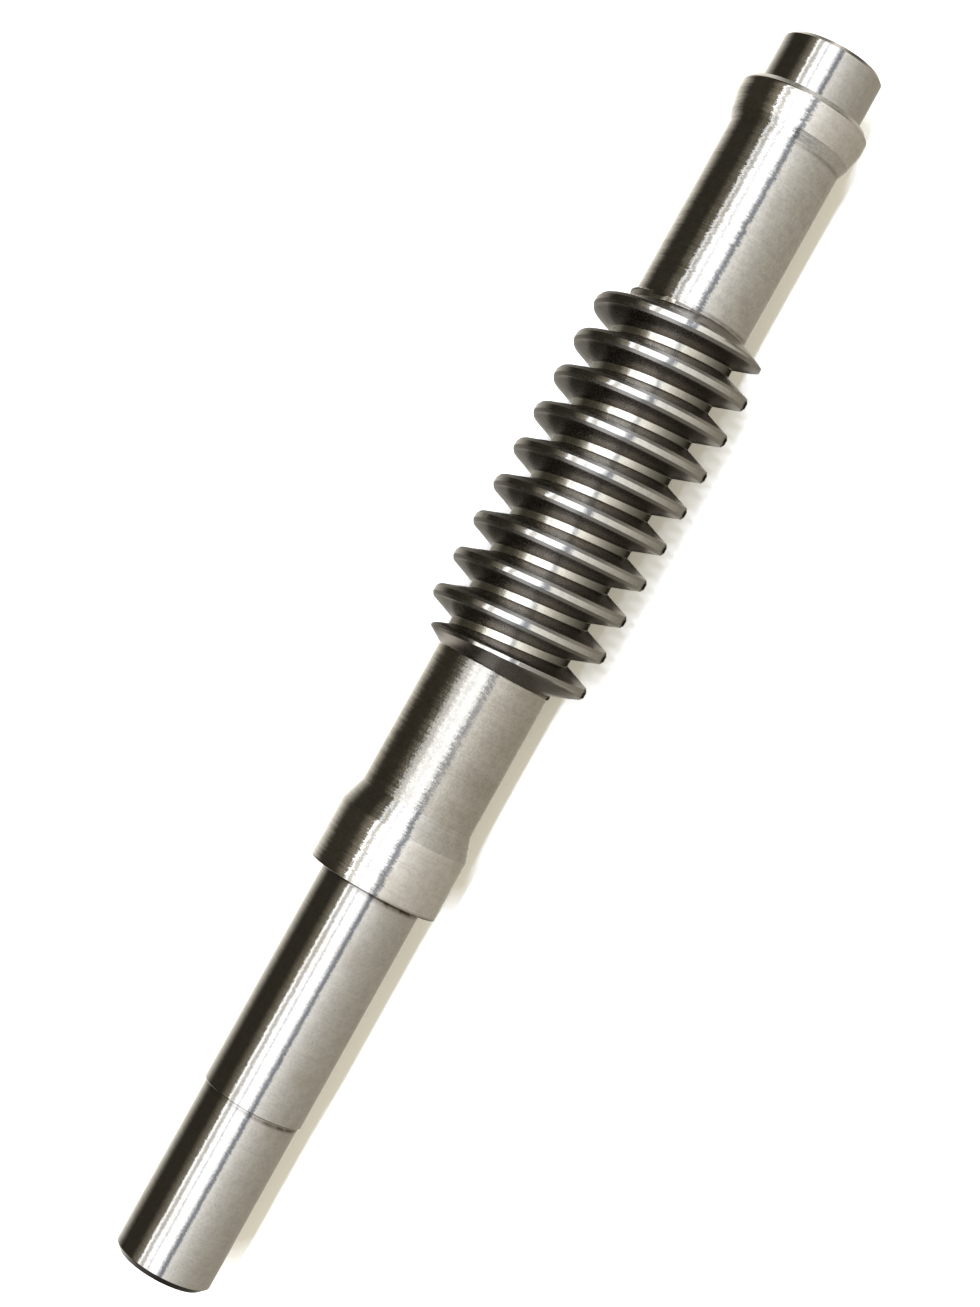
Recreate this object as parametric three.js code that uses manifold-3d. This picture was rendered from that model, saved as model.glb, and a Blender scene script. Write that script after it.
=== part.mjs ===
// One-piece worm shaft for a right-angle gear reducer: a single steel bar turned down to stepped
// journals and two bearing collars, with a single-start right-hand worm cut on its middle part.
//
// Millimetres, +Z up. The shaft axis is the X axis, with the drive end at -X and the short
// journal at +X. The origin is on the axis at mid-length.

import * as THREE from "three";
import { mergeVertices } from "three/addons/utils/BufferGeometryUtils.js";
import Module from "manifold-3d";

const FULL_TURN = 2 * Math.PI;
const FACETS_PER_TURN = 40;

// Worm, to the usual proportions of a single-start worm with straight axial flanks.
const MODULE = 3;
const STARTS = 1;
const DIAMETER_FACTOR = 12;
const FLANK_ANGLE = THREE.MathUtils.degToRad(20);
const REFERENCE_RADIUS = (MODULE * DIAMETER_FACTOR) / 2;
const TIP_RADIUS = REFERENCE_RADIUS + MODULE;
const ROOT_RADIUS = REFERENCE_RADIUS - 1.25 * MODULE;
const TIP_BREAK = 0.45;
const AXIAL_PITCH = Math.PI * MODULE;
const LEAD = AXIAL_PITCH * STARTS;
// The worm blank's ends are turned to cones. Each angle is how far its cone is from square.
const DRIVE_SIDE_CONE_ANGLE = THREE.MathUtils.degToRad(30);
const SHORT_SIDE_CONE_ANGLE = THREE.MathUtils.degToRad(24);
// Where the middle turn of the crest crosses the shaft's +Y side.
const CREST_X_AT_PLUS_Y = 45.65;

// Radii of the turned cylinders.
const DRIVE_RADIUS = 12;
const JOURNAL_RADIUS = 12.5;
const COLLAR_RADIUS = 16;
const BODY_RADIUS = 14;

// Lengths along the axis, in order from the drive end to the short end.
const DRIVE_END_LENGTH = 43.5;
const LONG_JOURNAL_LENGTH = 56;
const LONG_COLLAR_LENGTH = 15;
const LONG_COLLAR_CONE_LENGTH = 6;
const LONG_BODY_LENGTH = 35.5;
const WORM_LENGTH = 92;
const SHORT_BODY_LENGTH = 44;
const SHORT_COLLAR_STEEP_LENGTH = 2.5;
const SHORT_COLLAR_STEEP_RADIUS = 15;
const SHORT_COLLAR_CONE_LENGTH = 4.5;
const SHORT_COLLAR_LENGTH = 2.8;
const SHORT_COLLAR_CHAMFER = 1.4;
const SHORT_JOURNAL_LENGTH = 12.8;

// Edges and the 60-degree centre holes that the shaft was turned and ground between.
const DRIVE_END_CHAMFER = 1.5;
const SHORT_END_CHAMFER = 1;
const CENTRE_MOUTH_RADIUS = 3.35;
const CENTRE_PILOT_RADIUS = 1.6;
const CENTRE_HOLE_DEPTH = 7;
const CENTRE_CONE_DEPTH = (CENTRE_MOUTH_RADIUS - CENTRE_PILOT_RADIUS) * Math.sqrt(3);

const DRIVE_TO_WORM = DRIVE_END_LENGTH + LONG_JOURNAL_LENGTH + LONG_COLLAR_LENGTH
  + LONG_COLLAR_CONE_LENGTH + LONG_BODY_LENGTH;
const WORM_TO_END = SHORT_BODY_LENGTH + SHORT_COLLAR_STEEP_LENGTH + SHORT_COLLAR_CONE_LENGTH
  + SHORT_COLLAR_LENGTH + SHORT_COLLAR_CHAMFER + SHORT_JOURNAL_LENGTH;
const OVERALL_LENGTH = DRIVE_TO_WORM + WORM_LENGTH + WORM_TO_END;
const WORM_START_X = DRIVE_TO_WORM - OVERALL_LENGTH / 2;
const WORM_END_X = WORM_START_X + WORM_LENGTH;

const MACHINED_STEEL = new THREE.MeshStandardMaterial({
  name: "machined_steel",
  color: new THREE.Color(0.62, 0.6, 0.57),
  roughness: 0.28,
  metalness: 1,
});

// Records an outline as (radius, x) points while it advances along the axis.
class TurnedOutline {
  constructor(startX) {
    this.x = startX;
    this.points = [];
  }

  // Moves on by an axial length, then marks a point there at each given radius.
  advance(length, ...radii) {
    this.x += length;
    for (const radius of radii) {
      this.points.push(new THREE.Vector2(radius, this.x));
    }
    return this;
  }
}

// The whole bar without its thread: every cylinder, cone, shoulder, chamfer and centre hole.
function coreOutline() {
  const pilotDepth = CENTRE_HOLE_DEPTH - CENTRE_CONE_DEPTH;
  const outline = new TurnedOutline(-OVERALL_LENGTH / 2 + CENTRE_HOLE_DEPTH)
    .advance(0, 0, CENTRE_PILOT_RADIUS)
    .advance(-pilotDepth, CENTRE_PILOT_RADIUS)
    .advance(-CENTRE_CONE_DEPTH, CENTRE_MOUTH_RADIUS, DRIVE_RADIUS - DRIVE_END_CHAMFER)
    .advance(DRIVE_END_CHAMFER, DRIVE_RADIUS)
    .advance(DRIVE_END_LENGTH - DRIVE_END_CHAMFER, DRIVE_RADIUS, JOURNAL_RADIUS)
    .advance(LONG_JOURNAL_LENGTH, JOURNAL_RADIUS, COLLAR_RADIUS)
    .advance(LONG_COLLAR_LENGTH, COLLAR_RADIUS)
    .advance(LONG_COLLAR_CONE_LENGTH, BODY_RADIUS)
    .advance(LONG_BODY_LENGTH + WORM_LENGTH + SHORT_BODY_LENGTH, BODY_RADIUS)
    .advance(SHORT_COLLAR_STEEP_LENGTH, SHORT_COLLAR_STEEP_RADIUS)
    .advance(SHORT_COLLAR_CONE_LENGTH, COLLAR_RADIUS)
    .advance(SHORT_COLLAR_LENGTH, COLLAR_RADIUS)
    .advance(SHORT_COLLAR_CHAMFER, COLLAR_RADIUS - SHORT_COLLAR_CHAMFER, JOURNAL_RADIUS)
    .advance(SHORT_JOURNAL_LENGTH - SHORT_END_CHAMFER, JOURNAL_RADIUS)
    .advance(SHORT_END_CHAMFER, JOURNAL_RADIUS - SHORT_END_CHAMFER, CENTRE_MOUTH_RADIUS)
    .advance(-CENTRE_CONE_DEPTH, CENTRE_PILOT_RADIUS)
    .advance(-pilotDepth, CENTRE_PILOT_RADIUS, 0);
  return outline.points;
}

// The turned blank that the worm is cut from. Its two end cones set where the thread runs out.
function wormBlankOutline() {
  const outerRadius = TIP_RADIUS + MODULE;
  const startSlope = Math.tan(DRIVE_SIDE_CONE_ANGLE);
  const endSlope = Math.tan(SHORT_SIDE_CONE_ANGLE);
  const rimStartX = WORM_START_X + (outerRadius - BODY_RADIUS) * startSlope;
  const rimEndX = WORM_END_X - (outerRadius - BODY_RADIUS) * endSlope;
  return new TurnedOutline(rimStartX - outerRadius * startSlope)
    .advance(0, 0)
    .advance(outerRadius * startSlope, outerRadius)
    .advance(rimEndX - rimStartX, outerRadius)
    .advance(outerRadius * endSlope, 0)
    .points;
}

// The plain cylinder at the bottom of the thread, a little longer than the worm.
function threadRootOutline() {
  return new TurnedOutline(WORM_START_X - MODULE)
    .advance(0, 0, ROOT_RADIUS)
    .advance(WORM_LENGTH + 2 * MODULE, ROOT_RADIUS, 0)
    .points;
}

// A (radius, x) outline turned about the X axis.
function turned(outline) {
  const geometry = new THREE.LatheGeometry(outline, FACETS_PER_TURN);
  return geometry.rotateZ(-Math.PI / 2);
}

// A straight path on the X axis whose frame turns with the thread, one turn for each lead, so a
// section swept along it keeps its true shape in the axial plane.
class ThreadPath extends THREE.Curve {
  constructor(firstFacet, facetCount) {
    super();
    this.firstFacet = firstFacet;
    this.facetCount = facetCount;
  }

  angleAt(t) {
    return ((this.firstFacet + t * this.facetCount) / FACETS_PER_TURN) * FULL_TURN;
  }

  getPoint(t, target = new THREE.Vector3()) {
    return target.set(CREST_X_AT_PLUS_Y + (LEAD * this.angleAt(t)) / FULL_TURN, 0, 0);
  }

  computeFrenetFrames(segments) {
    const frames = { tangents: [], normals: [], binormals: [] };
    for (let i = 0; i <= segments; i += 1) {
      const angle = this.angleAt(i / segments);
      frames.normals.push(new THREE.Vector3(0, Math.cos(angle), Math.sin(angle)));
      frames.tangents.push(new THREE.Vector3(0, -Math.sin(angle), Math.cos(angle)));
      frames.binormals.push(new THREE.Vector3(-1, 0, 0));
    }
    return frames;
  }
}

// The thread's section in the axial plane, drawn as (radius, distance from the crest's centre).
function threadSection() {
  const halfWidthAt = (radius) => AXIAL_PITCH / 4
    + (REFERENCE_RADIUS - radius) * Math.tan(FLANK_ANGLE);
  const buriedRadius = ROOT_RADIUS - MODULE / 3;
  const shoulderRadius = TIP_RADIUS - TIP_BREAK;
  const upperHalf = [
    [buriedRadius, halfWidthAt(buriedRadius)],
    [shoulderRadius, halfWidthAt(shoulderRadius)],
    [TIP_RADIUS, halfWidthAt(shoulderRadius) - TIP_BREAK],
  ];
  const lowerHalf = upperHalf.map(([radius, offset]) => [radius, -offset]).reverse();
  const corners = [...upperHalf, ...lowerHalf];
  return new THREE.Shape(corners.map(([radius, offset]) => new THREE.Vector2(radius, offset)));
}

// The thread as one long helical ridge that overruns both ends of the worm.
function threadRidge() {
  const xPerFacet = LEAD / FACETS_PER_TURN;
  const firstFacet = Math.floor((WORM_START_X - LEAD - CREST_X_AT_PLUS_Y) / xPerFacet);
  const lastFacet = Math.ceil((WORM_END_X + LEAD - CREST_X_AT_PLUS_Y) / xPerFacet);
  const facetCount = lastFacet - firstFacet;
  return new THREE.ExtrudeGeometry(threadSection(), {
    steps: facetCount,
    extrudePath: new ThreadPath(firstFacet, facetCount),
    bevelEnabled: false,
  });
}

const wasm = await Module();
wasm.setup();

function toSolid(geometry) {
  geometry.deleteAttribute("normal");
  geometry.deleteAttribute("uv");
  const merged = mergeVertices(geometry);
  return new wasm.Manifold(new wasm.Mesh({
    numProp: 3,
    vertProperties: new Float32Array(merged.attributes.position.array),
    triVerts: new Uint32Array(merged.index.array),
  }));
}

function toGeometry(solid) {
  const mesh = solid.getMesh();
  const geometry = new THREE.BufferGeometry();
  geometry.setAttribute("position", new THREE.BufferAttribute(mesh.vertProperties, 3));
  geometry.setIndex(new THREE.BufferAttribute(mesh.triVerts, 1));
  geometry.computeVertexNormals();
  return geometry;
}

function wormShaft() {
  const core = toSolid(turned(coreOutline()));
  const threadRoot = toSolid(turned(threadRootOutline()));
  const blank = toSolid(turned(wormBlankOutline()));
  const worm = toSolid(threadRidge()).add(threadRoot).intersect(blank);
  const shaft = new THREE.Mesh(toGeometry(core.add(worm)), MACHINED_STEEL);
  shaft.name = "worm_shaft";
  return shaft;
}

const part = new THREE.Group();
part.add(wormShaft());

export default part;
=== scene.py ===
"""A one-piece worm shaft, turned from steel bar, lying on a pale floor and seen from straight above.

The finished shaft is a fine mesh built from the same dimensions as the CAD part. Lengths are in
millimetres until a mesh or an object is made, and Blender's own units are metres. The shaft axis
is the X axis. Angles round the shaft start at +Y and turn towards +Z.
"""

import math

import bpy
import numpy as np
from mathutils import Matrix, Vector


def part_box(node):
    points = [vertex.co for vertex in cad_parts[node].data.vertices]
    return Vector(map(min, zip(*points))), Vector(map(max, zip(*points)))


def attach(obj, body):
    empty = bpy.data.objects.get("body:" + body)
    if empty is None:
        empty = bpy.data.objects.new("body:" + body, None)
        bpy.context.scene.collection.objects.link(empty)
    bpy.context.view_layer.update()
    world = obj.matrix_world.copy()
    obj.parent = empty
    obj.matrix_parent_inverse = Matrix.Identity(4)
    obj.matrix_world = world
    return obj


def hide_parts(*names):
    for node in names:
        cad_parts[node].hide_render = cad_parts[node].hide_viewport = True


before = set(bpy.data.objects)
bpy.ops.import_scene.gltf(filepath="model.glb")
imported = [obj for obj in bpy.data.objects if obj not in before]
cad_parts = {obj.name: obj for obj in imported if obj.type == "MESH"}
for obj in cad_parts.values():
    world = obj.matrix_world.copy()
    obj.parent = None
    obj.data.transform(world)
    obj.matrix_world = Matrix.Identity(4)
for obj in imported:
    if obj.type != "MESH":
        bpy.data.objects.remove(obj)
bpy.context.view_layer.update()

METRES = 0.001
FULL_TURN = 2 * math.pi
NODE = "worm_shaft"
FINISHED_NAME = "worm_shaft_finished"
BODY = "root"

# The shaft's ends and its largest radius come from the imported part.
NODE_LOW, NODE_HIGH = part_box(NODE)
DRIVE_END_X = NODE_LOW.x / METRES
SHORT_END_X = NODE_HIGH.x / METRES
TIP_RADIUS = NODE_HIGH.z / METRES

# Worm.
MODULE = 3.0
AXIAL_PITCH = math.pi * MODULE
FLANK_ANGLE = math.radians(20)
REFERENCE_RADIUS = TIP_RADIUS - MODULE
ROOT_RADIUS = REFERENCE_RADIUS - 1.25 * MODULE
CREST_X_AT_PLUS_Y = 45.65
WORM_START_X = -2.0
WORM_END_X = 90.0
DRIVE_SIDE_CONE_SLOPE = math.tan(math.radians(30))
SHORT_SIDE_CONE_SLOPE = math.tan(math.radians(24))
CREST_LAND = 1.24
CREST_BREAK_DEPTH = 0.5
CREST_ROUNDING = 0.25
ROOT_FILLET = 0.4

# Where the worm's end cones meet the body, and where the thread meets the cones. The flank that
# faces away from its cone meets it in a thin edge, which is blunted the more the higher it is.
CONE_FOOT_BLEND = 0.9
THREAD_END_BLEND = 0.5
BLUNTING_START = 0.3
BLUNTING_RUN = 0.8
BLUNTING_GROWTH = 1.2
BLUNTING_HEIGHT = 3.2

# Small dents left by handling along the edges of the crest. Their depth is a share of their size.
NICK_COUNT = 60
NICK_SIZES = (0.25, 0.55)
NICK_DEPTH = 0.3
NICK_OFFSET = CREST_LAND / 2 + 0.2
SEED = 11

# Cylinders.
DRIVE_RADIUS = 12.0
JOURNAL_RADIUS = 12.5
COLLAR_RADIUS = 16.0
BODY_RADIUS = 14.0
STEEP_RADIUS = 15.0

# Where one cylinder or cone meets the next, measured from the ends of the shaft and the worm.
LONG_JOURNAL_X = DRIVE_END_X + 43.5
LONG_COLLAR_X = LONG_JOURNAL_X + 56.0
LONG_CONE_X = LONG_COLLAR_X + 15.0
LONG_BODY_X = LONG_CONE_X + 6.0
SHORT_STEEP_X = WORM_END_X + 44.0
SHORT_CONE_X = SHORT_STEEP_X + 2.5
SHORT_COLLAR_X = SHORT_CONE_X + 4.5
SHORT_CHAMFER_X = SHORT_COLLAR_X + 2.8
SHORT_JOURNAL_X = SHORT_CHAMFER_X + 1.4

# Edges, from sharp to soft, and the corners that a tool or a grinding wheel left rounded.
DRIVE_END_CHAMFER = 1.5
SHORT_END_CHAMFER = 1.0
COLLAR_CHAMFER = 1.4
EDGE_ROUNDING = 0.15
STEP_ROOT_FILLET = 0.2
JOURNAL_END_FILLET = 0.4
STEEP_FOOT_FILLET = 0.6
COLLAR_EDGE_ROUNDING = 0.7
SHOULDER_FILLET = 0.9
CONE_ROUNDING = 0.5

# Centre holes.
CENTRE_MOUTH_RADIUS = 3.35
CENTRE_PILOT_RADIUS = 1.6
CENTRE_HOLE_DEPTH = 7.0
CENTRE_CONE_DEPTH = (CENTRE_MOUTH_RADIUS - CENTRE_PILOT_RADIUS) * math.sqrt(3)
DRILL_POINT_DEPTH = CENTRE_PILOT_RADIUS * math.tan(math.radians(31))

# Mesh density. The longest run is between two mesh lines of an outline.
COLUMNS = 184
ARC_STEPS = 3
LONGEST_PLAIN_RUN = 6.0
LONGEST_THREAD_RUN = 1.0
WORM_MARGIN = 2.0
SPARE_PITCHES = 2
MARGIN_TOLERANCE = 0.02

# Numbers of the surface regions, each of which has its own finish.
GROUND, TURNED, DULL, BRIGHT, FLANK, CREST, ROOT, FACED, RIM, EDGE = range(10)

# A face belongs to a cone, flank or chamfer when its normal's share along X is over the first
# value, and to a square face when it is over the last. Chamfers lie between the first two.
SLOPING = 0.3
STEEPEST_CHAMFER = 0.9
SQUARE = 0.98
CREST_ZONE_DEPTH = 1.5
EDGE_INSET = 0.3


# ---------------------------------------------------------------- outlines


def unit(vector):
    return vector / np.linalg.norm(vector)


def arc_at_corner(before, corner, after, rounding):
    """Points of the arc that rounds a corner of an outline."""
    towards_before = unit(before - corner)
    towards_after = unit(after - corner)
    half = math.acos(np.clip(towards_before @ towards_after, -1, 1)) / 2
    centre = corner + unit(towards_before + towards_after) * rounding / math.sin(half)
    first = corner + towards_before * rounding / math.tan(half) - centre
    last = corner + towards_after * rounding / math.tan(half) - centre
    turn = math.pi - 2 * half
    shares = np.linspace(0, 1, ARC_STEPS + 1)[:, None]
    spread = np.sin((1 - shares) * turn) * first + np.sin(shares * turn) * last
    return centre + spread / math.sin(turn)


def rounded(corners, longest_run):
    """An outline's points from its (x, radius, rounding) corners, with long runs divided."""
    spots = np.array([corner[:2] for corner in corners])
    points = [spots[0]]
    for i in range(1, len(corners)):
        if i < len(corners) - 1 and corners[i][2] > 0:
            following = arc_at_corner(spots[i - 1], spots[i], spots[i + 1], corners[i][2])
        else:
            following = spots[i][None]
        start = points[-1]
        run = following[0] - start
        pieces = max(1, math.ceil(np.linalg.norm(run) / longest_run))
        for share in np.linspace(0, 1, pieces + 1)[1:-1]:
            points.append(start + run * share)
        points.extend(following)
    return np.array(points)


def centre_hole(end_x, inwards):
    """Corners of a centre hole, from its drill point to its mouth. Inwards is +1 or -1 along X."""
    pilot_x = end_x + inwards * CENTRE_HOLE_DEPTH
    cone_x = end_x + inwards * CENTRE_CONE_DEPTH
    return [
        (pilot_x + inwards * DRILL_POINT_DEPTH, 0, 0),
        (pilot_x, CENTRE_PILOT_RADIUS, 0),
        (cone_x, CENTRE_PILOT_RADIUS, 0),
        (end_x, CENTRE_MOUTH_RADIUS, EDGE_ROUNDING),
    ]


def drive_side_outline():
    """From the drive end's centre hole to just before the worm."""
    corners = centre_hole(DRIVE_END_X, 1) + [
        (DRIVE_END_X, DRIVE_RADIUS - DRIVE_END_CHAMFER, EDGE_ROUNDING),
        (DRIVE_END_X + DRIVE_END_CHAMFER, DRIVE_RADIUS, EDGE_ROUNDING),
        (LONG_JOURNAL_X, DRIVE_RADIUS, STEP_ROOT_FILLET),
        (LONG_JOURNAL_X, JOURNAL_RADIUS, EDGE_ROUNDING),
        (LONG_COLLAR_X, JOURNAL_RADIUS, SHOULDER_FILLET),
        (LONG_COLLAR_X, COLLAR_RADIUS, EDGE_ROUNDING),
        (LONG_CONE_X, COLLAR_RADIUS, CONE_ROUNDING),
        (LONG_BODY_X, BODY_RADIUS, CONE_ROUNDING),
        (WORM_START_X - WORM_MARGIN, BODY_RADIUS, 0),
    ]
    return rounded(corners, LONGEST_PLAIN_RUN)


def short_side_outline():
    """From just after the worm to the short end's centre hole."""
    corners = [
        (WORM_END_X + WORM_MARGIN, BODY_RADIUS, 0),
        (SHORT_STEEP_X, BODY_RADIUS, STEEP_FOOT_FILLET),
        (SHORT_CONE_X, STEEP_RADIUS, STEEP_FOOT_FILLET),
        (SHORT_COLLAR_X, COLLAR_RADIUS, CONE_ROUNDING),
        (SHORT_CHAMFER_X, COLLAR_RADIUS, COLLAR_EDGE_ROUNDING),
        (SHORT_JOURNAL_X, COLLAR_RADIUS - COLLAR_CHAMFER, EDGE_ROUNDING),
        (SHORT_JOURNAL_X, JOURNAL_RADIUS, JOURNAL_END_FILLET),
        (SHORT_END_X - SHORT_END_CHAMFER, JOURNAL_RADIUS, EDGE_ROUNDING),
        (SHORT_END_X, JOURNAL_RADIUS - SHORT_END_CHAMFER, EDGE_ROUNDING),
    ]
    return rounded(corners + centre_hole(SHORT_END_X, -1)[::-1], LONGEST_PLAIN_RUN)


# ---------------------------------------------------------------- thread


def thread_half_section():
    """The thread from the middle of its crest to the middle of the valley: (offset, radius)."""
    break_radius = TIP_RADIUS - CREST_BREAK_DEPTH
    half_crest, half_foot = (
        AXIAL_PITCH / 4 + (REFERENCE_RADIUS - radius) * math.tan(FLANK_ANGLE)
        for radius in (break_radius, ROOT_RADIUS)
    )
    corners = [
        (0, TIP_RADIUS, 0),
        (CREST_LAND / 2, TIP_RADIUS, CREST_ROUNDING),
        (half_crest, break_radius, CREST_ROUNDING),
        (half_foot, ROOT_RADIUS, ROOT_FILLET),
        (AXIAL_PITCH / 2, ROOT_RADIUS, 0),
    ]
    return rounded(corners, LONGEST_THREAD_RUN)


def smooth_least(a, b, reach):
    """The lesser of a and b, rounded off where they are closer than reach."""
    overlap = np.maximum(reach - np.abs(a - b), 0) / reach
    return np.minimum(a, b) - overlap**2 * reach / 4


def smooth_greatest(a, b, reach):
    return -smooth_least(-a, -b, reach)


def nicks(x, angle):
    """How much the dents along the crest's edges take off the radius."""
    random = np.random.default_rng(SEED)
    depth = np.zeros_like(x)
    turns = (WORM_END_X - WORM_START_X) / AXIAL_PITCH
    for _ in range(NICK_COUNT):
        turn = random.uniform(0, turns)
        side = random.choice([-1, 1])
        size = random.uniform(*NICK_SIZES)
        nick_angle = (turn % 1) * FULL_TURN
        nick_x = CREST_X_AT_PLUS_Y + AXIAL_PITCH * (turn - turns / 2) + side * NICK_OFFSET
        wrapped = (angle - nick_angle + math.pi) % FULL_TURN - math.pi
        along = wrapped * TIP_RADIUS / size
        across = (x - nick_x - AXIAL_PITCH * wrapped / FULL_TURN) / size
        depth += NICK_DEPTH * size * np.exp(-(along**2) - across**2)
    return depth


def worm_radius(x, angle, section):
    """The worm's surface: the thread, its root and the two cones where it runs out."""
    offset = (x - CREST_X_AT_PLUS_Y - AXIAL_PITCH * angle / FULL_TURN) / AXIAL_PITCH
    offset = (offset - np.round(offset)) * AXIAL_PITCH
    thread = np.interp(np.abs(offset), section[:, 0], section[:, 1])
    at_start = x < (WORM_START_X + WORM_END_X) / 2
    cone = np.where(
        at_start,
        BODY_RADIUS + (x - WORM_START_X) / DRIVE_SIDE_CONE_SLOPE,
        BODY_RADIUS + (WORM_END_X - x) / SHORT_SIDE_CONE_SLOPE,
    )
    blank = smooth_greatest(cone, np.full_like(cone, BODY_RADIUS), CONE_FOOT_BLEND)
    far_side = np.where(at_start, offset, -offset)
    blunting = np.clip((far_side - BLUNTING_START) / BLUNTING_RUN, 0, 1)
    height = np.clip(np.minimum(thread, cone) - ROOT_RADIUS, 0, BLUNTING_HEIGHT)
    reach = THREAD_END_BLEND + blunting * BLUNTING_GROWTH * height
    worm = smooth_least(thread, blank, reach) - nicks(x, angle)
    inside = (x > WORM_START_X) & (x < WORM_END_X)
    return np.maximum(np.where(inside, worm, BODY_RADIUS), BODY_RADIUS)


# ---------------------------------------------------------------- mesh


def column_angles():
    return np.arange(COLUMNS) * FULL_TURN / COLUMNS


def ring_points(outline):
    """Points of an outline turned about X, one row for each column: rows of (x, y, z)."""
    angles = column_angles()
    x = np.broadcast_to(outline[:, 0], (COLUMNS, len(outline)))
    y = np.cos(angles)[:, None] * outline[:, 1]
    z = np.sin(angles)[:, None] * outline[:, 1]
    return np.stack([x, y, z], axis=-1)


def worm_lines(section):
    """X at angle zero of every helical mesh line, and how many lines there are in one pitch."""
    half = section[:, 0]
    one_pitch = np.concatenate([-half[:0:-1], half[:-1]])
    first = math.floor((WORM_START_X - CREST_X_AT_PLUS_Y) / AXIAL_PITCH) - SPARE_PITCHES
    last = math.ceil((WORM_END_X - CREST_X_AT_PLUS_Y) / AXIAL_PITCH) + SPARE_PITCHES
    starts = CREST_X_AT_PLUS_Y + AXIAL_PITCH * np.arange(first, last + 1)
    return (starts[:, None] + one_pitch).ravel(), len(one_pitch)


def snapped(x, targets):
    """In each column, moves the nearest mesh line onto each target position."""
    columns = np.arange(len(x))
    for target in targets:
        nearest = np.abs(x - target).argmin(axis=1)
        x[columns, nearest] = target
    return x


def worm_points(section):
    """Points of the worm zone, one row for each column, and the number of lines in one pitch."""
    line_starts, per_pitch = worm_lines(section)
    angles = column_angles()[:, None]
    x = snapped(line_starts + AXIAL_PITCH * angles / FULL_TURN, [WORM_START_X, WORM_END_X])
    angles = np.broadcast_to(angles, x.shape)
    radius = worm_radius(x, angles, section)
    return np.stack([x, radius * np.cos(angles), radius * np.sin(angles)], axis=-1), per_pitch


def distinct_corners(quads):
    """Faces of three or four corners from quads whose neighbouring corners may coincide."""
    repeats = quads == np.roll(quads, 1, axis=1)
    whole = ~repeats.any(axis=1)
    clipped = repeats.sum(axis=1) == 1
    faces = quads[whole].tolist()
    for quad, repeat in zip(quads[clipped], repeats[clipped]):
        faces.append(quad[~repeat].tolist())
    return faces


def grid_quads(index):
    """Quads between neighbouring columns of an index grid whose last column is the first."""
    here, there = index[:-1], index[1:]
    corners = [here[:, :-1], there[:, :-1], there[:, 1:], here[:, 1:]]
    return np.stack(corners, axis=-1).reshape(-1, 4)


def plain_index(rows, start, axis_first, axis_last):
    """Vertex numbers of a turned zone, where an end on the axis is a single vertex."""
    index = start + np.arange(COLUMNS * rows).reshape(COLUMNS, rows)
    if axis_first:
        index[:, 0] = index[0, 0]
    if axis_last:
        index[:, -1] = index[0, -1]
    return np.vstack([index, index[:1]])


def worm_index(x, per_pitch, start, drive_ring, short_ring):
    """Vertex numbers of the worm zone. A line that has left the zone is its end ring's vertex."""
    before = x <= WORM_START_X - WORM_MARGIN + MARGIN_TOLERANCE
    beyond = x >= WORM_END_X + WORM_MARGIN - MARGIN_TOLERANCE
    index = start + np.arange(x.size).reshape(x.shape)
    index = np.where(before, drive_ring[:, None], index)
    index = np.where(beyond, short_ring[:, None], index)
    # After one turn each line arrives where the line one pitch further on began.
    closing = np.full(index.shape[1], short_ring[0])
    closing[:-per_pitch] = index[0, per_pitch:]
    return np.vstack([index, closing])


def without_unused(points, faces):
    """The same mesh, keeping only the points that its faces use."""
    used = np.zeros(len(points), bool)
    for face in faces:
        used[face] = True
    renumbered = np.cumsum(used) - 1
    return points[used], [renumbered[face].tolist() for face in faces]


def shaft_mesh():
    """Points and faces of the whole shaft, closed, in metres."""
    drive_side = ring_points(drive_side_outline())
    short_side = ring_points(short_side_outline())
    worm, per_pitch = worm_points(thread_half_section())
    short_start = drive_side[..., 0].size
    worm_start = short_start + short_side[..., 0].size
    drive_index = plain_index(drive_side.shape[1], 0, True, False)
    short_index = plain_index(short_side.shape[1], short_start, False, True)
    drive_ring = drive_index[:-1, -1]
    short_ring = short_index[:-1, 0]
    middle_index = worm_index(worm[..., 0], per_pitch, worm_start, drive_ring, short_ring)
    points = np.vstack([zone.reshape(-1, 3) for zone in (drive_side, short_side, worm)])
    quads = np.vstack([grid_quads(index) for index in (drive_index, short_index, middle_index)])
    return without_unused(points * METRES, distinct_corners(quads))


def weighted_normals(points, faces):
    """Vertex normals led by the largest faces, so flat lands stay flat up to their edges."""
    normals = np.zeros_like(points)
    for count in (3, 4):
        group = np.array([face for face in faces if len(face) == count])
        corner = points[group]
        cross = np.cross(corner[:, 2] - corner[:, 0], corner[:, -1] - corner[:, 1])
        for i in range(count):
            np.add.at(normals, group[:, i], cross)
    return normals / np.linalg.norm(normals, axis=1)[:, None]


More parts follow.
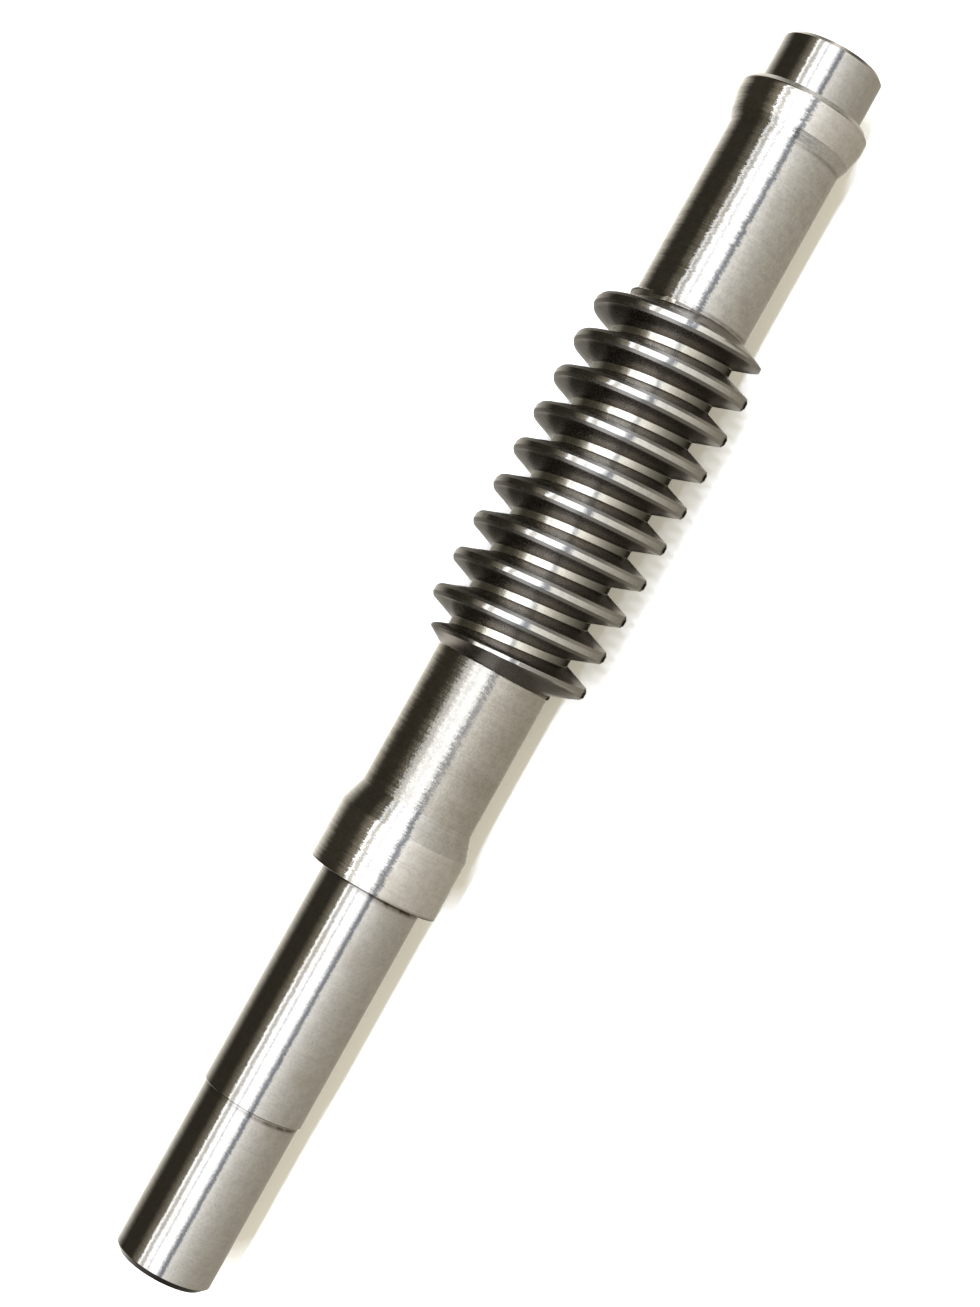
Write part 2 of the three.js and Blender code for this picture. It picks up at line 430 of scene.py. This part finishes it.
def region_of_faces(mesh):
    """The number of the region that each face is in, by where it is on the shaft."""
    count = len(mesh.polygons)
    centre = np.zeros(count * 3)
    normal = np.zeros(count * 3)
    mesh.polygons.foreach_get("center", centre)
    mesh.polygons.foreach_get("normal", normal)
    x, y, z = centre.reshape(-1, 3).T / METRES
    radius = np.hypot(y, z)
    along = np.abs(normal.reshape(-1, 3)[:, 0])
    in_worm = (x > WORM_START_X) & (x < WORM_END_X)
    level = along <= SLOPING
    sloping = along > SLOPING
    near_tip = radius > TIP_RADIUS - CREST_ZONE_DEPTH
    region = np.full(count, TURNED)
    region[(x < LONG_COLLAR_X) | (x > SHORT_JOURNAL_X)] = GROUND
    region[(x > LONG_BODY_X) & (x < WORM_START_X)] = DULL
    region[(x > LONG_COLLAR_X) & (x < LONG_CONE_X)] = BRIGHT
    region[(x > SHORT_CONE_X) & (x < SHORT_JOURNAL_X)] = BRIGHT
    region[(x > SHORT_CHAMFER_X + EDGE_INSET) & (x < SHORT_JOURNAL_X) & sloping] = EDGE
    region[(along > SQUARE) & ~in_worm] = FACED
    region[(x < DRIVE_END_X + DRIVE_END_CHAMFER) & sloping & (along < STEEPEST_CHAMFER)] = RIM
    region[in_worm & sloping] = FLANK
    region[in_worm & level & near_tip] = CREST
    region[in_worm & level & ~near_tip] = ROOT
    return region.astype(np.int32)


def placed(name, data):
    """A new object with this data, in the scene."""
    thing = bpy.data.objects.new(name, data)
    bpy.context.scene.collection.objects.link(thing)
    return thing


def finished_shaft(materials):
    points, faces = shaft_mesh()
    mesh = bpy.data.meshes.new(FINISHED_NAME)
    mesh.from_pydata(points.tolist(), [], faces)
    mesh.update()
    mesh.polygons.foreach_set("use_smooth", np.ones(len(mesh.polygons), bool))
    mesh.normals_split_custom_set_from_vertices(weighted_normals(points, faces).tolist())
    for material in materials:
        mesh.materials.append(material)
    mesh.polygons.foreach_set("material_index", region_of_faces(mesh))
    return placed(FINISHED_NAME, mesh)


# ---------------------------------------------------------------- shader nodes


class Nodes:
    """Adds shader nodes to a tree, giving each its inputs as values or as links."""

    def __init__(self, tree):
        self.tree = tree
        tree.nodes.clear()

    def fill(self, socket, value):
        if isinstance(value, bpy.types.NodeSocket):
            self.tree.links.new(value, socket)
        else:
            socket.default_value = value

    def add(self, kind, inputs, **settings):
        node = self.tree.nodes.new(kind)
        for name, value in settings.items():
            setattr(node, name, value)
        for name, value in inputs.items():
            self.fill(node.inputs[name], value)
        return node

    def math(self, operation, *values):
        inputs = dict(enumerate(values))
        return self.add("ShaderNodeMath", inputs, operation=operation).outputs[0]

    def total(self, first, *others):
        for other in others:
            first = self.math("ADD", first, other)
        return first

    def product(self, first, *others):
        for other in others:
            first = self.math("MULTIPLY", first, other)
        return first

    def vector_math(self, operation, inputs):
        return self.add("ShaderNodeVectorMath", inputs, operation=operation).outputs[0]

    def noise(self, vector, scale, detail, roughness):
        inputs = {"Vector": vector, "Scale": scale, "Detail": detail, "Roughness": roughness}
        return self.add("ShaderNodeTexNoise", inputs).outputs["Fac"]

    def ramp(self, value, low, high, from_value=0.0, to_value=1.0):
        """Smoothly from from_value at low to to_value at high."""
        inputs = {
            "Value": value,
            "From Min": low,
            "From Max": high,
            "To Min": from_value,
            "To Max": to_value,
        }
        return self.add("ShaderNodeMapRange", inputs, interpolation_type="SMOOTHSTEP").outputs[0]

    def mix(self, share, a, b):
        node = self.add("ShaderNodeMix", {}, data_type="RGBA")
        for name, value in {"Factor": share, "A": a, "B": b}.items():
            socket = [s for s in node.inputs if s.name == name and s.enabled][0]
            self.fill(socket, value)
        return [s for s in node.outputs if s.enabled][0]


BLACK = (0, 0, 0, 1)
WHITE = (1, 1, 1, 1)


def new_material(name):
    """A material and the nodes of its empty tree."""
    material = bpy.data.materials.new(name)
    material.use_nodes = True
    return material, Nodes(material.node_tree)


def shaft_coordinates(nodes):
    """Object position in millimetres, its parts, and the radius from the axis."""
    position = nodes.add("ShaderNodeTexCoord", {}).outputs["Object"]
    scaled = nodes.vector_math("SCALE", {0: position, "Scale": 1 / METRES})
    parts = nodes.add("ShaderNodeSeparateXYZ", {0: scaled}).outputs
    squares = [nodes.product(part, part) for part in (parts[1], parts[2])]
    return scaled, parts, nodes.math("SQRT", nodes.total(*squares))


def stretched(nodes, along, parts, across_scale, round_scale):
    """Coordinates fine along one direction and long round the shaft, without a seam."""
    inputs = {
        0: nodes.product(along, across_scale),
        1: nodes.product(parts[1], round_scale),
        2: nodes.product(parts[2], round_scale),
    }
    return nodes.add("ShaderNodeCombineXYZ", inputs).outputs[0]


# ---------------------------------------------------------------- steel

# Noise over the surface: waves to the millimetre, detail and roughness.
SURFACE_NOISES = {
    "pebbles": (1.6, 3.0, 0.6),
    "cloud": (0.55, 3.0, 0.6),
    "patch": (0.10, 2.0, 0.5),
    "grit": (3.2, 0.0, 0.5),
    "waves": (0.22, 1.0, 0.5),
}
# Noise drawn out round the shaft. Rings are the tool's lines and dashes are shorter ones.
RING_ROUND_SCALE = 0.04
RING_NOISE = (1.0, 3.0, 0.6)
DASH_SPACING = 0.8
DASH_ROUND_SCALE = 0.45
DASH_NOISE = (1.0, 2.0, 0.5)
HATCH_LINES = 3.0
HATCH_ROUND_SCALE = 0.03
WAVE_DEPTH = 0.02

# The shading's tone is a mixture of three noises, and counts between these two values.
TONE_SHARES = {"rings": 0.2, "cloud": 0.4, "pebbles": 0.4}
TONE_RANGE = (0.38, 0.60)
FLECK_RANGE = (0.55, 0.68)
FLECK_SIDE = (1.0, 6.0)
STAIN_RANGE = (0.54, 0.72)
SPECK_RANGE = (0.80, 0.86)
ROUGH_RANGE = (0.3, 0.7)
SMOOTHEST = 0.9
ROUGHEST = 1.12
# Between these depths below the tip, the flanks turn paler towards it.
PALE_TIP_DEPTHS = (1.6, 0.3)

# Where grime and painted shade have gathered in the corners: x, half width, and how dark it is.
GRIME_AND_SHADE_SPOTS = [
    (LONG_JOURNAL_X - 0.7, 0.9, 0.9),
    (LONG_COLLAR_X - 0.5, 1.5, 1.2),
    (-26.0, 4.5, 0.15),
    (WORM_END_X + 0.5, 0.8, 0.6),
    (SHORT_STEEP_X - 0.4, 0.8, 0.5),
]
# Grime and painted shade go from dense to thin between two y values, broken up by the cloud noise.
GRIME_AND_SHADE_SIDE = (-8.0, 6.0, 1.0, 0.25)
GRIME_AND_SHADE_BREAKS = (0.38, 0.55, 0.65, 1.0)
GRIME_AND_SHADE_COLOUR = (0.10, 0.075, 0.05, 1)
STAIN_COLOUR = (0.36, 0.29, 0.20, 1)
STRAW_COLOUR = (0.60, 0.53, 0.36, 1)

STEEL_TINT = (0.62, 0.60, 0.57)
TURNED_TINT = (0.66, 0.64, 0.605)
DULL_TINT = (0.60, 0.57, 0.52)
BRIGHT_TINT = (0.77, 0.74, 0.70)
FLANK_TINT = (0.28, 0.255, 0.235)
PALE_TIP_COLOUR = (0.42, 0.40, 0.375, 1)
# The crest's tint is lighter than the steel's, a painted highlight on the land.
CREST_TINT = (0.76, 0.74, 0.70)
# The root's tint is lighter and warmer than the steel's, a painted highlight on the valley floor.
ROOT_TINT = (0.95, 0.92, 0.83)
# The drive end's chamfer and centre hole mouth get a dark tint, painted shade.
RIM_TINT = (0.10, 0.09, 0.10)
# The short collar's chamfer has a tint lighter than the steel's, a painted highlight.
EDGE_TINT = (0.95, 0.93, 0.90)

# A finish can have sides with painted shade. Each gives two values of y, between which the steel
# goes from painted shade to unshaded, and what is left of its colour in the painted shade. On the
# thread they stand for its shaded surroundings.
FLANK_PAINTED_SHADE = ((-18.0, -8.0, 0.85), (-20.6, -19.8, 0.1), (16.5, 12.0, 0.5))
CREST_PAINTED_SHADE = ((-20.6, -19.7, 0.05), (-20.0, -6.0, 0.68), (16.0, 7.0, 0.65))
ROOT_PAINTED_SHADE = ((-13.0, 0.0, 0.2), (14.0, 9.0, 0.45))
# On the turned bodies the painted shade only greys the mirrored streak beside the dark side, so a
# second entry undoes the first one beyond it.
GREY_LEFT = 0.66
STREAK_PAINTED_SHADE = ((6.0, 4.0, GREY_LEFT), (8.0, 6.2, 1 / GREY_LEFT))


def steel_noises(nodes, position, parts, across, line_scale):
    """The noises that the marks on a steel are made of, by name."""
    noises = {name: nodes.noise(position, *kind) for name, kind in SURFACE_NOISES.items()}
    rings = stretched(nodes, across, parts, line_scale, RING_ROUND_SCALE)
    dashes = stretched(nodes, across, parts, line_scale * DASH_SPACING, DASH_ROUND_SCALE)
    noises["rings"] = nodes.noise(rings, *RING_NOISE)
    noises["dashes"] = nodes.noise(dashes, *DASH_NOISE)
    return noises


def unshaded_share(nodes, parts, painted_shade_sides):
    """What the painted shade of the dark sides leaves of the steel's colour at each place."""
    unshaded = 1.0
    for dark_y, unshaded_y, left in painted_shade_sides:
        unshaded = nodes.product(unshaded, nodes.ramp(parts[1], dark_y, unshaded_y, left, 1.0))
    return unshaded


def grime_and_shade_share(nodes, parts, cloud):
    """How much grime and painted shade cover a place: most in the corners, broken up, more at -Y."""
    spots = []
    for x, half_width, strength in GRIME_AND_SHADE_SPOTS:
        away = nodes.math("ABSOLUTE", nodes.math("SUBTRACT", parts[0], x))
        spots.append(nodes.ramp(away, 0.0, half_width, strength, 0.0))
    side = nodes.ramp(parts[1], *GRIME_AND_SHADE_SIDE)
    return nodes.product(nodes.total(*spots), side, nodes.ramp(cloud, *GRIME_AND_SHADE_BREAKS))


def shade_of_steel(nodes, noises, unshaded, shading):
    """The faint light and dark variation of the bare steel, times the painted shade of the dark
    sides.
    """
    tone = nodes.total(*(nodes.product(noises[name], share) for name, share in TONE_SHARES.items()))
    return nodes.product(nodes.ramp(tone, *TONE_RANGE, 1 - shading, 1.0), unshaded)


def dirtied_and_shaded(nodes, base, noises, parts, stains, flecks, specks):
    """A base colour with straw-coloured oil flecks, brown stains, grime, painted shade and dark
    specks.
    """
    fleck_side = nodes.ramp(parts[1], *FLECK_SIDE, 0.0, flecks)
    fleck = nodes.product(nodes.ramp(noises["dashes"], *FLECK_RANGE), fleck_side)
    oily = nodes.mix(fleck, base, STRAW_COLOUR)
    stain = nodes.ramp(noises["patch"], *STAIN_RANGE, 0.0, stains)
    stained = nodes.mix(stain, oily, STAIN_COLOUR)
    grimy_and_shaded = nodes.mix(grime_and_shade_share(nodes, parts, noises["cloud"]), stained, GRIME_AND_SHADE_COLOUR)
    return nodes.mix(nodes.ramp(noises["grit"], *SPECK_RANGE, 0.0, specks), grimy_and_shaded, GRIME_AND_SHADE_COLOUR)


def leaning(nodes, normal, place, amount):
    """The normal, leaned round the shaft by an amount that differs from one tool line to the next."""
    lines = nodes.noise(place, *RING_NOISE)
    lean = nodes.product(nodes.math("SUBTRACT", lines, 0.5), amount)
    round_shaft = nodes.vector_math("CROSS_PRODUCT", {0: (1, 0, 0), 1: normal})
    shift = nodes.vector_math("SCALE", {0: round_shaft, "Scale": lean})
    return nodes.vector_math("NORMALIZE", {0: nodes.vector_math("ADD", {0: normal, 1: shift})})


def relief_normal(nodes, noises, line_depth, grain):
    """The normal of a surface with tool lines, grain and long shallow waves. Depths are in mm."""
    relief = nodes.total(
        nodes.product(nodes.total(noises["rings"], noises["dashes"]), line_depth),
        nodes.product(noises["pebbles"], grain),
        nodes.product(noises["waves"], WAVE_DEPTH),
    )
    inputs = {"Strength": 1.0, "Distance": METRES, "Height": relief}
    return nodes.add("ShaderNodeBump", inputs).outputs[0]


def steel(name, tint, roughness, lines, grain, hatch=0.0, shading=0.15, stains=0.2, flecks=0.35,
          specks=0.5, painted_shade_sides=(), follow_radius=False, paler_tip=False):
    """Machined steel. Lines are the tool lines to the millimetre and their depth, and hatch is how
    far each leans to one side. Lines follow the radius where the tool faced the surface."""
    material, nodes = new_material(name)
    position, parts, radius = shaft_coordinates(nodes)
    across = radius if follow_radius else parts[0]
    line_scale, line_depth = lines
    noises = steel_noises(nodes, position, parts, across, line_scale)
    # Painted shade: the dark sides darken the steel's colour here and its edge reflection below.
    unshaded = unshaded_share(nodes, parts, painted_shade_sides)
    shade = shade_of_steel(nodes, noises, unshaded, shading)
    base = nodes.mix(shade, BLACK, (*tint, 1))
    if paler_tip:
        near_tip = nodes.ramp(radius, *(TIP_RADIUS - depth for depth in PALE_TIP_DEPTHS))
        base = nodes.mix(nodes.product(shade, near_tip), base, PALE_TIP_COLOUR)
    rough_range = (roughness * SMOOTHEST, roughness * ROUGHEST)
    normal = relief_normal(nodes, noises, line_depth, grain)
    if hatch:
        place = stretched(nodes, across, parts, HATCH_LINES, HATCH_ROUND_SCALE)
        normal = leaning(nodes, normal, place, hatch)
    inputs = {
        "Base Color": dirtied_and_shaded(nodes, base, noises, parts, stains, flecks, specks),
        "Metallic": 1.0,
        "Roughness": nodes.ramp(noises["cloud"], *ROUGH_RANGE, *rough_range),
        # The painted shade of the dark sides also dims the reflection at grazing angles.
        "Specular Tint": nodes.mix(unshaded, BLACK, WHITE),
        "Normal": normal,
    }
    surface = nodes.add("ShaderNodeBsdfPrincipled", inputs)
    nodes.add("ShaderNodeOutputMaterial", {"Surface": surface.outputs[0]})
    return material


def ground_steel():
    """The journals and the drive end."""
    return steel("ground_steel", STEEL_TINT, 0.07, lines=(2.6, 0.008), grain=0.016, hatch=0.06,
                 shading=0.14)


def turned_steel():
    """The short body, the steep cone at its end and the long collar's cone, with painted shade on a
    streak.
    """
    return steel("turned_steel", TURNED_TINT, 0.08, lines=(2.2, 0.020), grain=0.018, hatch=0.15,
                 shading=0.18, painted_shade_sides=STREAK_PAINTED_SHADE)


def dull_steel():
    """The long body, between the long collar and the worm, with painted shade on a streak."""
    return steel("dull_steel", DULL_TINT, 0.16, lines=(2.0, 0.024), grain=0.036, hatch=0.20,
                 shading=0.18, painted_shade_sides=STREAK_PAINTED_SHADE)


def bright_collar_steel():
    """Both collars, and the gentle cone at the short one."""
    return steel("bright_collar_steel", BRIGHT_TINT, 0.08, lines=(2.2, 0.020), grain=0.018,
                 hatch=0.15)


def thread_flank_steel():
    """The thread's flanks and the worm's end cones, darkened, with painted shade on their sides and a
    paler edge at the tip.
    """
    return steel("thread_flank_steel", FLANK_TINT, 0.28, lines=(2.0, 0.006), grain=0.002,
                 shading=0.03, stains=0.0, flecks=0.0, specks=0.0, painted_shade_sides=FLANK_PAINTED_SHADE,
                 follow_radius=True, paler_tip=True)


def thread_crest_steel():
    """The narrow land on top of the thread, in a tint lighter than the steel's as a painted
    highlight, with painted shade on its sides.
    """
    return steel("thread_crest_steel", CREST_TINT, 0.12, lines=(2.2, 0.010), grain=0.014,
                 hatch=0.08, flecks=0.2, painted_shade_sides=CREST_PAINTED_SHADE)


def thread_root_steel():
    """The floor of the thread's valley, in a tint lighter than the steel's as a painted highlight,
    with painted shade on its sides.
    """
    return steel("thread_root_steel", ROOT_TINT, 0.20, lines=(2.2, 0.010), grain=0.012,
                 hatch=0.08, stains=0.1, painted_shade_sides=ROOT_PAINTED_SHADE)


def faced_steel():
    """The shoulders and the shaft's end faces."""
    return steel("faced_steel", STEEL_TINT, 0.16, lines=(2.4, 0.014), grain=0.008,
                 follow_radius=True)


def rim_steel():
    """The drive end's chamfer, and the mouth of the centre hole inside it, darkened as painted shade.
    """
    return steel("rim_steel", RIM_TINT, 0.20, lines=(2.4, 0.014), grain=0.008, follow_radius=True)


def bright_edge_steel():
    """The short collar's chamfer, in a tint lighter than the steel's as a painted highlight."""
    return steel("bright_edge_steel", EDGE_TINT, 0.35, lines=(2.4, 0.014), grain=0.008,
                 follow_radius=True)


def shaft_materials():
    """One material for each region, in the order of the region numbers."""
    return [
        ground_steel(),
        turned_steel(),
        dull_steel(),
        bright_collar_steel(),
        thread_flank_steel(),
        thread_crest_steel(),
        thread_root_steel(),
        faced_steel(),
        rim_steel(),
        bright_edge_steel(),
    ]


# ---------------------------------------------------------------- studio

# What the shaft mirrors, by the angle in degrees of the mirrored direction from straight up:
# negative towards +Y, positive towards -Y. A tone is how bright a surface shows on polished
# steel, from 0 to 255. Lamps are brighter than can be shown.
FULL = 255
LAMP_GAIN = 1.25
# How much less green and blue than red a surface of warmth 1 shows.
WARM_GREEN = 7
WARM_BLUE = 22
WARM = 1.0
HALF_WARM = 0.5
NEUTRAL = 0.0
COOL = -0.3

# The +Y side has a dark wall. On both sides the pale floor comes in smoothly between two angles.
# Straight down is 180, so on the -Y side some of the wall's tone stays in it.
DARK_WALL_TONE = 45
FLOOR_TONE = 225
FLOOR_RISE_PLUS_Y = (-110, -170)
FLOOR_RISE_MINUS_Y = (150, 200)
# Two lamps hang over the +Y side. The wall beside them catches their light, and a panel of cloth
# fills the space between the narrow lamp and the wide one. LAMP_EDGE is how soft edges are.
LAMP_GLOW = (-75, -50)
LAMP_GLOW_TONE = 120
NARROW_LAMP = (-50, -45)
CLOTH = (-48, -36)
CLOTH_TONE = 200
WIDE_LAMP = (-36, 0)
LAMP_EDGE = 2
# The wide lamp has a seam, and its edge towards -Y is soft.
SEAM = (-26, -22)
SEAM_TONE = 220
SOFT_EDGE = 12
# The -Y side has a line of shade beside the lamp and then a pale wall. What the wall's light has
# over its far tone falls to about a third with every PALE_WALL_FALL degrees away from the lamp.
SHADE_LINE_TONE = 130
PALE_WALL_START = 12
PALE_WALL_TONE = 228
PALE_WALL_FALL = 35
FAR_WALL_TONE = 138

# The studio fades between these shares of the mirrored direction that lie along the shaft.
PLUS_Y_ENDS = (0.60, 0.90)
MINUS_Y_DRIVE_SIDE = (-0.30, -0.60)
MINUS_Y_SHORT_SIDE = (0.75, 0.86)
DEEPEST_FADE = 0.62
# Straight along the shaft the studio is dark on the drive side and not faded on the short side.
DRIVE_SIDE_END = (-0.945, -0.975)
DRIVE_SIDE_END_SHADE = 0.9
SHORT_SIDE_END = (0.93, 0.96)

ROOM_LIGHT = (1.0, 0.93, 0.74, 1.0)

STRIP_LAMPS = 9
STRIP_STRENGTH = 4.2
STRIP_COLOUR = (0.78, 0.85, 1.0)
STRIP_LENGTH = math.radians(50)
STRIP_WIDTH = math.radians(2.5)
STRIP_TILT = math.radians(-10.3)
SIDE_STRENGTH = 1.1
SIDE_COLOUR = (0.96, 0.97, 1.0)
SIDE_WIDTH = math.radians(30)
SIDE_TILT = math.radians(-22)

FLOOR_HALF_SIZE = 6000
FLOOR_COLOUR = (0.90, 0.90, 0.90, 1)
# A dark sheet, painted shade on the floor close beside and under the worm.
CONTACT_LOW = (WORM_START_X + 3, -21)
CONTACT_HIGH = (WORM_END_X - 3, 16)
CONTACT_LIFT = 0.2
CONTACT_COLOUR = (0.03, 0.025, 0.02, 1)


def linear_light(value):
    """The amount of light that shows as a value from 0 to 255."""
    share = value / FULL
    return share / 12.92 if share <= 0.04045 else ((share + 0.055) / 1.055) ** 2.4


def radiance(tone, warmth=NEUTRAL):
    """The light that shows with this tone and warmth after it is mirrored in the steel."""
    gain = LAMP_GAIN if tone == FULL else 1.0
    shown = (tone, tone - WARM_GREEN * warmth, tone - WARM_BLUE * warmth)
    values = (linear_light(value) * gain / tint for value, tint in zip(shown, STEEL_TINT))
    return (*values, 1.0)


def span(nodes, angle, between, soft_start, soft_end):
    """One between two angles and nothing beyond, with a soft edge centred on each angle."""
    start, end = between
    begun = nodes.ramp(angle, start - soft_start / 2, start + soft_start / 2)
    ended = nodes.ramp(angle, end - soft_end / 2, end + soft_end / 2, 1.0, 0.0)
    return nodes.product(begun, ended)


def lamp_side(nodes, angle):
    """The floor, the dark wall and the lamps, as the +Y side mirrors them."""
    seen = radiance(DARK_WALL_TONE, HALF_WARM)
    seen = nodes.mix(nodes.ramp(angle, *FLOOR_RISE_PLUS_Y), seen, radiance(FLOOR_TONE, WARM))
    seen = nodes.mix(nodes.ramp(angle, *LAMP_GLOW), seen, radiance(LAMP_GLOW_TONE, WARM))
    cloth = span(nodes, angle, CLOTH, LAMP_EDGE, LAMP_EDGE)
    seen = nodes.mix(cloth, seen, radiance(CLOTH_TONE, HALF_WARM))
    narrow = span(nodes, angle, NARROW_LAMP, LAMP_EDGE, LAMP_EDGE)
    return nodes.mix(narrow, seen, radiance(FULL))


def wall_side(nodes, angle):
    """The line of shade, the pale wall and the floor, as the -Y side mirrors them."""
    away = nodes.math("SUBTRACT", angle, PALE_WALL_START)
    falling = nodes.math("EXPONENT", nodes.math("DIVIDE", away, -PALE_WALL_FALL))
    near, far = radiance(PALE_WALL_TONE, HALF_WARM), radiance(FAR_WALL_TONE, WARM)
    wall = nodes.mix(falling, far, near)
    wall = nodes.mix(nodes.ramp(angle, *FLOOR_RISE_MINUS_Y), wall, radiance(FLOOR_TONE, WARM))
    begun = nodes.ramp(angle, PALE_WALL_START - LAMP_EDGE, PALE_WALL_START + LAMP_EDGE)
    return nodes.mix(begun, radiance(SHADE_LINE_TONE, COOL), wall)


def studio_round(nodes, angle):
    """The whole studio by angle. The wide lamp spans the place where its two sides meet."""
    sides = (lamp_side(nodes, angle), wall_side(nodes, angle))
    walls = nodes.mix(nodes.math("GREATER_THAN", angle, 0.0), *sides)
    seam = span(nodes, angle, SEAM, LAMP_EDGE, LAMP_EDGE)
    lamp = nodes.mix(seam, radiance(FULL), radiance(SEAM_TONE))
    return nodes.mix(span(nodes, angle, WIDE_LAMP, LAMP_EDGE, SOFT_EDGE), walls, lamp)


def mirrored_studio(nodes):
    """The studio, by the mirrored direction."""
    direction = nodes.add("ShaderNodeTexCoord", {}).outputs["Generated"]
    parts = nodes.add("ShaderNodeSeparateXYZ", {0: direction}).outputs
    turned = nodes.math("ARCTAN2", nodes.product(parts[1], -1.0), parts[2])
    angle = nodes.math("DEGREES", turned)
    plus_y_fade = nodes.ramp(nodes.math("ABSOLUTE", parts[0]), *PLUS_Y_ENDS)
    minus_y_fade = nodes.total(
        nodes.ramp(parts[0], *MINUS_Y_DRIVE_SIDE),
        nodes.ramp(parts[0], *MINUS_Y_SHORT_SIDE),
    )
    on_minus_y = nodes.math("GREATER_THAN", angle, 0.0)
    on_plus_y = nodes.math("SUBTRACT", 1.0, on_minus_y)
    fade = nodes.total(
        nodes.product(plus_y_fade, on_plus_y),
        nodes.product(minus_y_fade, on_minus_y),
    )
    deepest = nodes.ramp(parts[0], *SHORT_SIDE_END, DEEPEST_FADE, 0.0)
    studio = nodes.mix(nodes.product(fade, deepest), studio_round(nodes, angle), BLACK)
    shade = nodes.ramp(parts[0], *DRIVE_SIDE_END, 0.0, DRIVE_SIDE_END_SHADE)
    return nodes.mix(shade, studio, BLACK)


def studio_world():
    """White to the camera, soft warm light to the floor, and the studio to mirrors."""
    world = bpy.data.worlds.new("studio")
    world.use_nodes = True
    nodes = Nodes(world.node_tree)
    path = nodes.add("ShaderNodeLightPath", {}).outputs
    lit = nodes.mix(path["Is Glossy Ray"], ROOM_LIGHT, mirrored_studio(nodes))
    shown = nodes.mix(path["Is Camera Ray"], lit, WHITE)
    background = nodes.add("ShaderNodeBackground", {"Color": shown, "Strength": 1.0})
    nodes.add("ShaderNodeOutputWorld", {"Surface": background.outputs[0]})
    bpy.context.scene.world = world


def level_sheet(name, low, high, z, material):
    """A level rectangle between two (x, y) corners, for the stage."""
    corners = [(low[0], low[1], z), (high[0], low[1], z), (high[0], high[1], z), (low[0], high[1], z)]
    mesh = bpy.data.meshes.new(name)
    mesh.from_pydata((np.array(corners) * METRES).tolist(), [], [(0, 1, 2, 3)])
    mesh.materials.append(material)
    sheet = placed(name, mesh)
    return sheet


def pale_floor():
    """A plain floor under the shaft. Seen from below, it lets the shaft's underside show."""
    material, nodes = new_material("pale_floor")
    upper = nodes.add("ShaderNodeBsdfDiffuse", {"Color": FLOOR_COLOUR})
    under = nodes.add("ShaderNodeBsdfTransparent", {})
    below = nodes.add("ShaderNodeNewGeometry", {}).outputs["Backfacing"]
    inputs = {0: below, 1: upper.outputs[0], 2: under.outputs[0]}
    surface = nodes.add("ShaderNodeMixShader", inputs)
    nodes.add("ShaderNodeOutputMaterial", {"Surface": surface.outputs[0]})
    low = (-FLOOR_HALF_SIZE, -FLOOR_HALF_SIZE)
    high = (FLOOR_HALF_SIZE, FLOOR_HALF_SIZE)
    floor = level_sheet("floor", low, high, -TIP_RADIUS, material)
    floor.visible_glossy = False


def contact_shade():
    """Painted shade on the floor close beside and under the worm: a dark sheet only mirror
    reflections see.
    """
    material, nodes = new_material("painted_floor_shade")
    surface = nodes.add("ShaderNodeEmission", {"Color": CONTACT_COLOUR, "Strength": 1.0})
    nodes.add("ShaderNodeOutputMaterial", {"Surface": surface.outputs[0]})
    z = -TIP_RADIUS + CONTACT_LIFT
    shade = level_sheet("contact_shade", CONTACT_LOW, CONTACT_HIGH, z, material)
    shade.visible_camera = False
    shade.visible_diffuse = False
    shade.visible_shadow = False
    shade.visible_transmission = False


def distant_lamp(name, strength, colour, width, turn):
    data = bpy.data.lights.new(name, "SUN")
    data.energy = strength
    data.color = colour
    data.angle = width
    lamp = placed(name, data)
    lamp.rotation_euler = turn
    lamp.visible_glossy = False


def floor_lamps():
    """A strip light along the shaft, as a row of distant lamps, and a wide soft light at +Y."""
    for i in range(STRIP_LAMPS):
        along = STRIP_LENGTH * (i / (STRIP_LAMPS - 1) - 0.5)
        strength = STRIP_STRENGTH / STRIP_LAMPS
        distant_lamp(f"strip_{i}", strength, STRIP_COLOUR, STRIP_WIDTH, (STRIP_TILT, along, 0))
    distant_lamp("side", SIDE_STRENGTH, SIDE_COLOUR, SIDE_WIDTH, (SIDE_TILT, 0, 0))


# ---------------------------------------------------------------- camera

# The camera looks straight down. Its turn puts the shaft's drive end at the picture's lower left.
CAMERA_HEIGHT = 545.0
CAMERA_FOOT = (1.05, 2.6)
CAMERA_TURN = math.radians(-60.86)
CAMERA_LENS = 65.75
SENSOR_LONG_SIDE = 36.0
CLIP_RANGE = (0.01, 20)


def overhead_camera():
    data = bpy.data.cameras.new("camera")
    data.lens = CAMERA_LENS
    data.sensor_width = SENSOR_LONG_SIDE
    data.sensor_fit = "AUTO"
    data.clip_start, data.clip_end = CLIP_RANGE
    camera = placed("camera", data)
    place = [value * METRES for value in (*CAMERA_FOOT, CAMERA_HEIGHT)]
    camera.matrix_world = Matrix.Translation(place) @ Matrix.Rotation(CAMERA_TURN, 4, "Z")
    bpy.context.scene.camera = camera


def main():
    shaft = finished_shaft(shaft_materials())
    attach(shaft, BODY)
    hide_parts(NODE)
    studio_world()
    pale_floor()
    contact_shade()
    floor_lamps()
    overhead_camera()
    bpy.context.scene.view_settings.view_transform = "Standard"


main()
